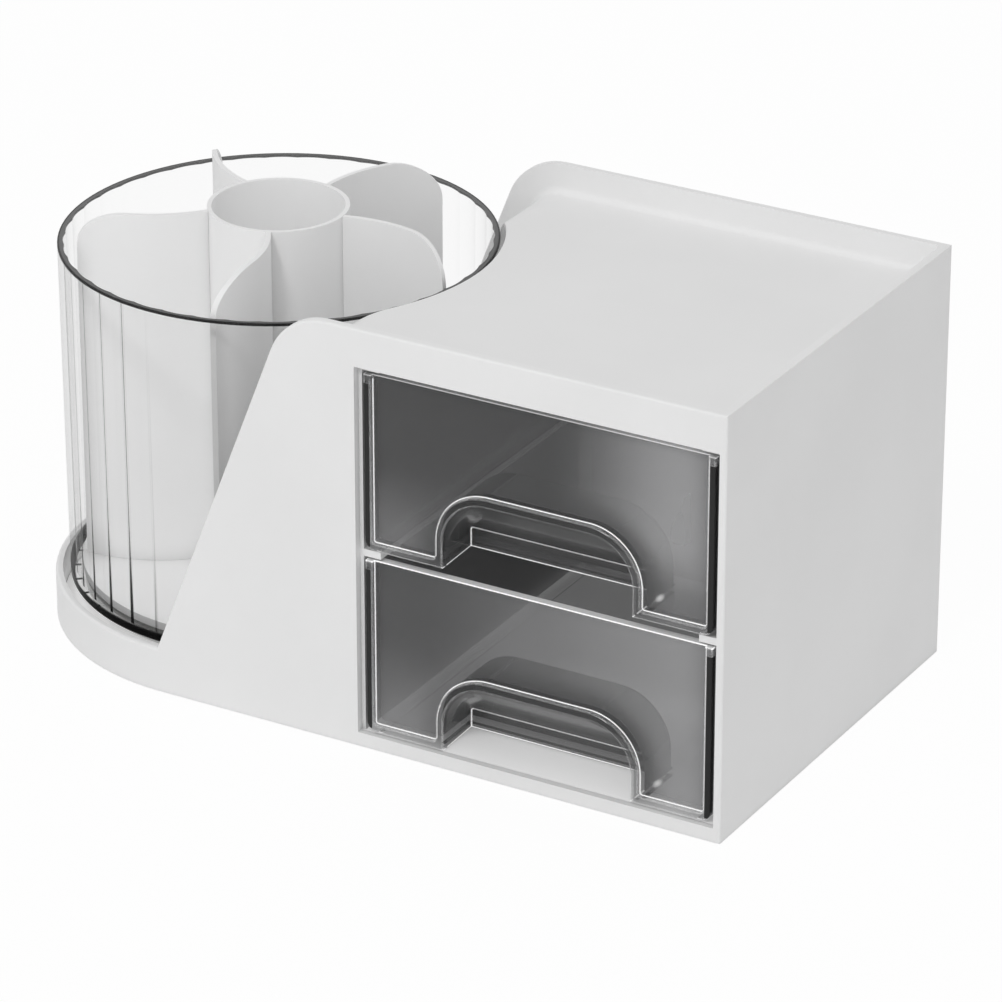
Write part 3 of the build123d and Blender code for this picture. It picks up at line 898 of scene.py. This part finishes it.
@dataclass(frozen=True)
class Clear:
    """Clear fluted cup plastic with a painted dark rim, painted dark flute lines towards the sides,
    painted black shade at the foot, and painted glints.

    Attributes:
        name: The material's name.
        skin: Colour of light that passes one face.
        axis: X of the cup's axis, in metres.
        inner: Radius inside which a face belongs to the fluted side, in metres.
        flutes: Number of flutes.
        turns: Whole turns, and a half one, that bring the flutes' phase onto their ridges.
        rim: Height at which the painted dark rim starts, in metres.
        rim_blur: Height over which it sets in, in metres.
        foot: Height below which the foot is painted black, in metres.
        foot_blur: Height over which it sets in, in metres.
        foot_wall: Distances inside the inner radius where the painted black foot starts, in metres.
        low_reach: Height above the foot over which the lines get thinner, in metres.
        side_span: Facing values between which the lines come in.
        wall_blur: Half of the blur round the inner radius, in metres.
        line_wall: Distances inside the inner radius where the lines end, in metres.
        line_span: Phases between which a line fades.
        line_widening: What the phase gains at the foot.
        line_share: Strength of a line at the top.
        line_low: What it gains towards the foot.
        glint_rise: Phases between which the painted glint beside a line comes in.
        glint_fall: Phases between which it goes.
        glint_share: Its strength.
        glint_metal: Glint values between which it mirrors like metal.
        rim_middle: Distances past the inner radius over which the rim's middle fades, in metres.
        rim_light: Brightness of the painted light in the rim's middle.
        rim_share: Strength of the rim.
        painted_dark: Colour of the painted dark rim, lines and foot.
        dark_rough: Their roughness.
        dark_rough_smear: Its change with the smears.
        dark_specular: Their gloss.
        wall: Colour of the walls' own light.
        painted_bright: Colour of the painted glints.
        wall_rough: Roughness of the walls.
        wall_rough_smear: Its change with the smears.
        mirror_share: Share of the mirrored light that shows.
        smears: Cells per metre of the smears.
        smear_detail: Their finer layers.
        smear_level: Noise value at which a smear starts to show.
        smear_share: Its opacity.
        smear_relief: Its depth in metres.
        smear_bump: Share of that depth that shows.
        pigment: Colour that the plastic's depth leaves over.
        density: Absorption per metre of plastic.
    """

    name: str
    skin: Colour = (0.995, 0.995, 0.995)
    axis: float = -0.0534
    inner: float = 0.0588
    flutes: int = 40
    turns: float = 100.5
    rim: float = 0.1095
    rim_blur: float = 0.2 * MM
    foot: float = 0.0150
    foot_blur: float = 0.8 * MM
    foot_wall: Span = (1.2 * MM, 0.8 * MM)
    low_reach: float = 0.045
    side_span: Span = (0.28, 0.34)
    wall_blur: float = 0.2 * MM
    line_wall: Span = (2.8 * MM, 2.4 * MM)
    line_span: Span = (0.006, 0.03)
    line_widening: float = 0.045
    line_share: float = 0.6
    line_low: float = 0.4
    glint_rise: Span = (0.03, 0.06)
    glint_fall: Span = (0.07, 0.11)
    glint_share: float = 0.16
    glint_metal: Span = (0.01, 0.02)
    rim_middle: Span = (0.1 * MM, 0.6 * MM)
    rim_light: float = 0.12
    rim_share: float = 0.97
    painted_dark: Colour = (0.004, 0.004, 0.004)
    dark_rough: float = 0.2
    dark_rough_smear: float = 0.04
    dark_specular: float = 0.08
    wall: Colour = (0.4, 0.4, 0.4)
    painted_bright: Colour = (0.9, 0.9, 0.9)
    wall_rough: float = 0.06
    wall_rough_smear: float = 0.03
    mirror_share: float = 0.42
    smears: float = 30.0
    smear_detail: float = 3.0
    smear_level: float = 0.4
    smear_share: float = 0.006
    smear_relief: float = 0.02 * MM
    smear_bump: float = 0.3
    pigment: Colour = (0.5, 0.5, 0.5)
    density: float = 3.0

    def inside(self, gaps: Span) -> Span:
        """Radii inside the inner radius.

        Args:
            gaps: Their distances from it, in metres.

        Returns:
            The radii, in metres.
        """
        return self.inner - gaps[0], self.inner - gaps[1]

    def build(self) -> bpy.types.Material:
        """Makes the material.

        Returns:
            The material.
        """
        made = bpy.data.materials.new(self.name)
        tree = Tree(made)
        x, y, z = tree.parts()
        across = x - self.axis
        radius = (across * across + y * y) ** 0.5
        turn = y.bearing(across) * (self.flutes / math.tau)
        phase = (turn + self.turns).folded(0.5)
        low = z.below(self.foot, self.foot + self.low_reach)
        within = radius.below(self.inner - self.wall_blur, self.inner + self.wall_blur)
        side = tree.facing().above(*self.side_span)
        near = tree.node("ShaderNodeNewGeometry", output="Backfacing") * within * side
        wider = (low ** 2.0) * self.line_widening
        # Painted dark flute lines, stronger towards the sides and the foot.
        line = (phase - wider).below(*self.line_span) * near
        line = line * (self.line_share + low * self.line_low)
        line = line * radius.above(*self.inside(self.line_wall))
        # Painted glints beside the dark lines.
        painted_glint = phase.above(*self.glint_rise) * phase.below(*self.glint_fall)
        painted_glint = painted_glint * near * self.glint_share
        # Painted dark rim, and painted black shade at the foot.
        rim = z.above(self.rim, self.rim + self.rim_blur)
        foot = z.below(self.foot, self.foot + self.foot_blur)
        foot = foot * radius.above(*self.inside(self.foot_wall))
        smear = tree.noise(self.smears, self.smear_detail)
        middle = (radius - self.inner).below(*self.rim_middle) * self.rim_light
        # The painted dark of rim, lines and foot, with a painted lighter middle on the rim.
        painted_dark = tree.principled({
            "Base Color": tree.shade(middle * rim, self.painted_dark, FULL_WHITE),
            "Roughness": self.dark_rough + (smear - NOISE_MEAN) * self.dark_rough_smear,
            "Specular IOR Level": self.dark_specular,
        })
        shine = tree.principled({
            "Base Color": tree.shade(painted_glint, self.wall, self.painted_bright),
            "Roughness": self.wall_rough + (smear - NOISE_MEAN) * self.wall_rough_smear,
            "Metallic": painted_glint.above(*self.glint_metal),
            "Normal": tree.bump(smear, self.smear_relief, self.smear_bump),
        })
        mirrored = tree.glancing() * self.mirror_share
        mirrored = mirrored + (smear - self.smear_level) * self.smear_share
        glass = tree.blend(mirrored + painted_glint, tree.clear(self.skin), shine)
        shader = tree.blend(line + rim * self.rim_share + foot, glass, painted_dark)
        tree.surface(shader, tree.pigment(self.pigment, self.density))
        return made


@dataclass(frozen=True)
class Steel:
    """Turned or plated steel with fine tool lines.

    Attributes:
        name: The material's name.
        colour: Base colour.
        roughness: Mean roughness.
        rings: Scale of the tool lines' rings.
        waver: How much the rings waver.
        ring_detail: Their finer layers.
        relief: Depth of the lines in metres.
        relief_share: Share of that depth that shows.
        stains: Cells per metre of the stains.
        stain_detail: Their finer layers.
        stain_tint: Brightness of a stain.
        stain_rough: Change of roughness with the stains.
    """

    name: str
    colour: Colour
    roughness: float
    rings: float = 200.0
    waver: float = 1.5
    ring_detail: float = 2.0
    relief: float = 0.01 * MM
    relief_share: float = 0.5
    stains: float = 300.0
    stain_detail: float = 3.0
    stain_tint: float = 0.85
    stain_rough: float = 0.15

    def build(self) -> bpy.types.Material:
        """Makes the material.

        Returns:
            The material.
        """
        made = bpy.data.materials.new(self.name)
        tree = Tree(made)
        turned = tree.node("ShaderNodeTexWave", {"wave_type": "RINGS", "rings_direction": "Z"}, {
            "Vector": tree.place(),
            "Scale": self.rings,
            "Distortion": self.waver,
            "Detail": self.ring_detail,
        }, output="Fac")
        stain = tree.noise(self.stains, self.stain_detail)
        stained = tuple(part * self.stain_tint for part in self.colour)
        tree.surface(tree.principled({
            "Base Color": tree.shade(stain, stained, self.colour),
            "Metallic": 1.0,
            "Roughness": self.roughness + (stain - NOISE_MEAN) * self.stain_rough,
            "Normal": tree.bump(turned, self.relief, self.relief_share),
        }))
        return made


class Finish(Enum):
    """The organizer's finishes."""

    # The painted glow lifts the white plastics' shade. The plate's glow is strongest, so that the
    # plate shows bright through the pulls.
    WHITE = Moulding("white satin moulding", (0.86, 0.86, 0.86), 0.48, painted_glow=0.05)
    PLATE = Moulding("white plate moulding", (0.86, 0.86, 0.86), 0.5, painted_glow=0.3, painted_gap_shade=0.2)
    # The divider's painted shade reaches far and acts as a painted shadow of each vane on the tube.
    DIVIDER = Moulding(
        "white divider moulding", (0.86, 0.86, 0.86), 0.42, drift=0.02, painted_glow=0.08,
        painted_shade_reach=12.0 * MM, painted_gap_shade=0.35)
    SMOKED = Smoked("smoked drawer plastic")
    CLEAR = Clear("clear cup plastic")
    BEARING = Moulding("natural bearing plastic", (0.78, 0.78, 0.77), 0.35, grain=900.0, painted_glow=0.05)
    STEEL = Steel("plated steel", (0.58, 0.58, 0.59), 0.28)
    RUBBER = Moulding("foot rubber", (0.035, 0.035, 0.037), 0.75, grain=1800.0, relief=0.04 * MM)

    def material(self) -> bpy.types.Material:
        """The finish's one material, made at its first use.

        Returns:
            The material.
        """
        return bpy.data.materials.get(self.value.name) or self.value.build()


# ------------------------------------------------------------------ pieces of the organizer
@dataclass
class SubAssembly:
    """A group of CAD nodes that are dressed together.

    Attributes:
        nodes: Finish of each CAD node, by node name.
    """

    nodes: dict[str, Finish] = field(default_factory=dict)

    def build(self) -> None:
        """Gives every CAD node of the group its finish."""
        for name, finish in self.nodes.items():
            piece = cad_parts[name]
            piece.data.materials.clear()
            piece.data.materials.append(finish.material())
            LOG.info("%s: %s", name, finish.value.name)


@dataclass
class Cabinet(SubAssembly):
    """White body with its plate, screws and feet."""

    nodes: dict[str, Finish] = field(default_factory=lambda: {
        "housing": Finish.WHITE,
        "bottom_plate": Finish.PLATE,
        "plate_screws": Finish.STEEL,
        **{f"foot_{place}": Finish.RUBBER for place in
           ("right_front", "right_back", "middle_front", "middle_back", "left")},
    })


@dataclass
class Bearing(SubAssembly):
    """Races, cage, balls and pivot under the cup."""

    nodes: dict[str, Finish] = field(default_factory=lambda: {
        "lower_race": Finish.BEARING,
        "race_screws": Finish.STEEL,
        "bearing_balls": Finish.STEEL,
        "ball_cage": Finish.BEARING,
        "turntable_disc": Finish.BEARING,
        "pivot_washer": Finish.STEEL,
        "pivot_screw": Finish.STEEL,
    })


@dataclass
class Cup(SubAssembly):
    """Clear ribbed cup and its white divider."""

    nodes: dict[str, Finish] = field(default_factory=lambda: {
        "cup": Finish.CLEAR,
        "cup_screws": Finish.STEEL,
        "divider_core": Finish.DIVIDER,
        **{f"divider_vane_{count}": Finish.DIVIDER for count in range(1, 6)},
    })


@dataclass
class Drawers(SubAssembly):
    """The two smoked drawers."""

    nodes: dict[str, Finish] = field(default_factory=lambda: {
        "upper_drawer": Finish.SMOKED,
        "lower_drawer": Finish.SMOKED,
    })


# ------------------------------------------------------------------ studio
@dataclass(frozen=True)
class Lamp:
    """One soft area lamp aimed at the organizer.

    Attributes:
        name: The lamp's name.
        azimuth: Degrees round from the front, towards the right.
        height: Degrees above the floor.
        distance: Metres from the target.
        side: Length of the lamp's side.
        watts: Power.
    """

    name: str
    azimuth: float
    height: float
    distance: float
    side: float
    watts: float

    def build(self, target: Vector) -> None:
        """Makes the lamp.

        Args:
            target: The point that it is aimed at.
        """
        data = bpy.data.lights.new(self.name, "AREA")
        data.energy = self.watts
        data.size = self.side
        lamp = bpy.data.objects.new(self.name, data)
        turn, rise = math.radians(self.azimuth), math.radians(self.height)
        ahead = -math.cos(turn) * math.cos(rise)
        way = Vector((math.sin(turn) * math.cos(rise), ahead, math.sin(rise)))
        lamp.location = target + way * self.distance
        lamp.rotation_euler = (-way).to_track_quat("-Z", "Y").to_euler()
        bpy.context.scene.collection.objects.link(lamp)


@dataclass
class Studio:
    """Pale floor, soft light and the photograph's camera.

    Attributes:
        eye: The camera's place.
        azimuth: The camera's direction round from the front, in degrees.
        elevation: Its height above the floor, in degrees.
        focal: Focal length, in millimetres.
        sensor: Width of its sensor, in millimetres.
        clip: Nearest and farthest distance that it sees, in metres.
        world: Strength of the light from all round.
        gloss: Strength of the surroundings that polished faces mirror.
        reach: Distance from the middle to the floor's edges, in metres.
        paint: The floor's colour.
        floor_white: Share of plain white that the floor shows to the camera.
        clear_faces: Clear faces that one ray may pass.
        lamps: The soft lamps.
    """

    eye: tuple[float, float, float] = (0.705005, -1.192969, 0.701267)
    azimuth: float = 30.0229
    elevation: float = 25.3841
    focal: float = 204.107
    sensor: float = 36.0
    clip: Span = (0.01, 20.0)
    world: float = 0.53
    gloss: float = 0.9
    reach: float = 6.0
    paint: Colour = (0.92, 0.92, 0.92)
    floor_white: float = 0.965
    clear_faces: int = 40
    lamps: tuple[Lamp, ...] = (
        Lamp("key lamp", 6.0, 50.0, 2.2, 0.3, 11.5),
        Lamp("front lamp", -30.0, 18.0, 2.2, 1.6, 3.4),
        Lamp("side lamp", 70.0, 12.0, 2.2, 1.6, 3.2),
    )

    def camera(self) -> None:
        """Sets the camera where the photograph's was."""
        data = bpy.data.cameras.new("photograph camera")
        data.lens = self.focal
        data.sensor_width = self.sensor
        data.sensor_fit = "HORIZONTAL"
        data.clip_start, data.clip_end = self.clip
        camera = bpy.data.objects.new("photograph camera", data)
        camera.location = self.eye
        tilt = math.radians(90.0 - self.elevation)
        camera.rotation_euler = (tilt, 0.0, math.radians(self.azimuth))
        bpy.context.scene.collection.objects.link(camera)
        bpy.context.scene.camera = camera

    def sky(self) -> None:
        """Makes the soft surroundings: white to the camera, graded for the plastics."""
        world = bpy.data.worlds.new("studio")
        bpy.context.scene.world = world
        tree = Tree(world)
        seen = tree.node("ShaderNodeLightPath", output="Is Camera Ray")
        glossy = tree.node("ShaderNodeLightPath", output="Is Glossy Ray")
        mirrored = glossy * (1.0 - seen) * self.gloss
        strength = seen + mirrored + (1.0 - seen) * (1.0 - glossy) * self.world
        inputs = {"Color": FULL_WHITE, "Strength": strength}
        light = tree.node("ShaderNodeBackground", None, inputs)
        out = tree.nodes.new("ShaderNodeOutputWorld")
        tree.links.new(light.output, out.inputs["Surface"])

    def floor(self) -> None:
        """Lays a wide pale floor that keeps the soft contact shadow."""
        mesh = bpy.data.meshes.new("floor")
        far = self.reach
        corners = [(-far, -far, 0.0), (far, -far, 0.0), (far, far, 0.0), (-far, far, 0.0)]
        mesh.from_pydata(corners, [], [(0, 1, 2, 3)])
        floor = bpy.data.objects.new("floor", mesh)
        bpy.context.scene.collection.objects.link(floor)
        paint = bpy.data.materials.new("pale floor")
        tree = Tree(paint)
        seen = tree.node("ShaderNodeLightPath", output="Is Camera Ray")
        lit = tree.node("ShaderNodeBsdfDiffuse", None, {"Color": self.paint})
        white = tree.node("ShaderNodeEmission", None, {"Color": FULL_WHITE, "Strength": 1.0})
        tree.surface(tree.blend(seen * self.floor_white, lit, white))
        mesh.materials.append(paint)
        floor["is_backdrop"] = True

    def build(self) -> None:
        """Builds the studio round the organizer."""
        scene = bpy.context.scene
        scene.view_settings.view_transform = "Standard"
        scene.cycles.transparent_max_bounces = self.clear_faces
        self.camera()
        self.sky()
        self.floor()
        low, high = (Vector(corner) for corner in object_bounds())
        for lamp in self.lamps:
            lamp.build((low + high) / 2)


def main() -> None:
    """Builds the studio and dresses every sub-assembly."""
    logging.basicConfig(level=logging.INFO, format="%(name)s: %(message)s")
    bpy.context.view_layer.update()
    Studio().build()
    for part in (Cabinet(), Bearing(), Cup(), Drawers()):
        part.build()


if __name__ == "__main__":
    main()
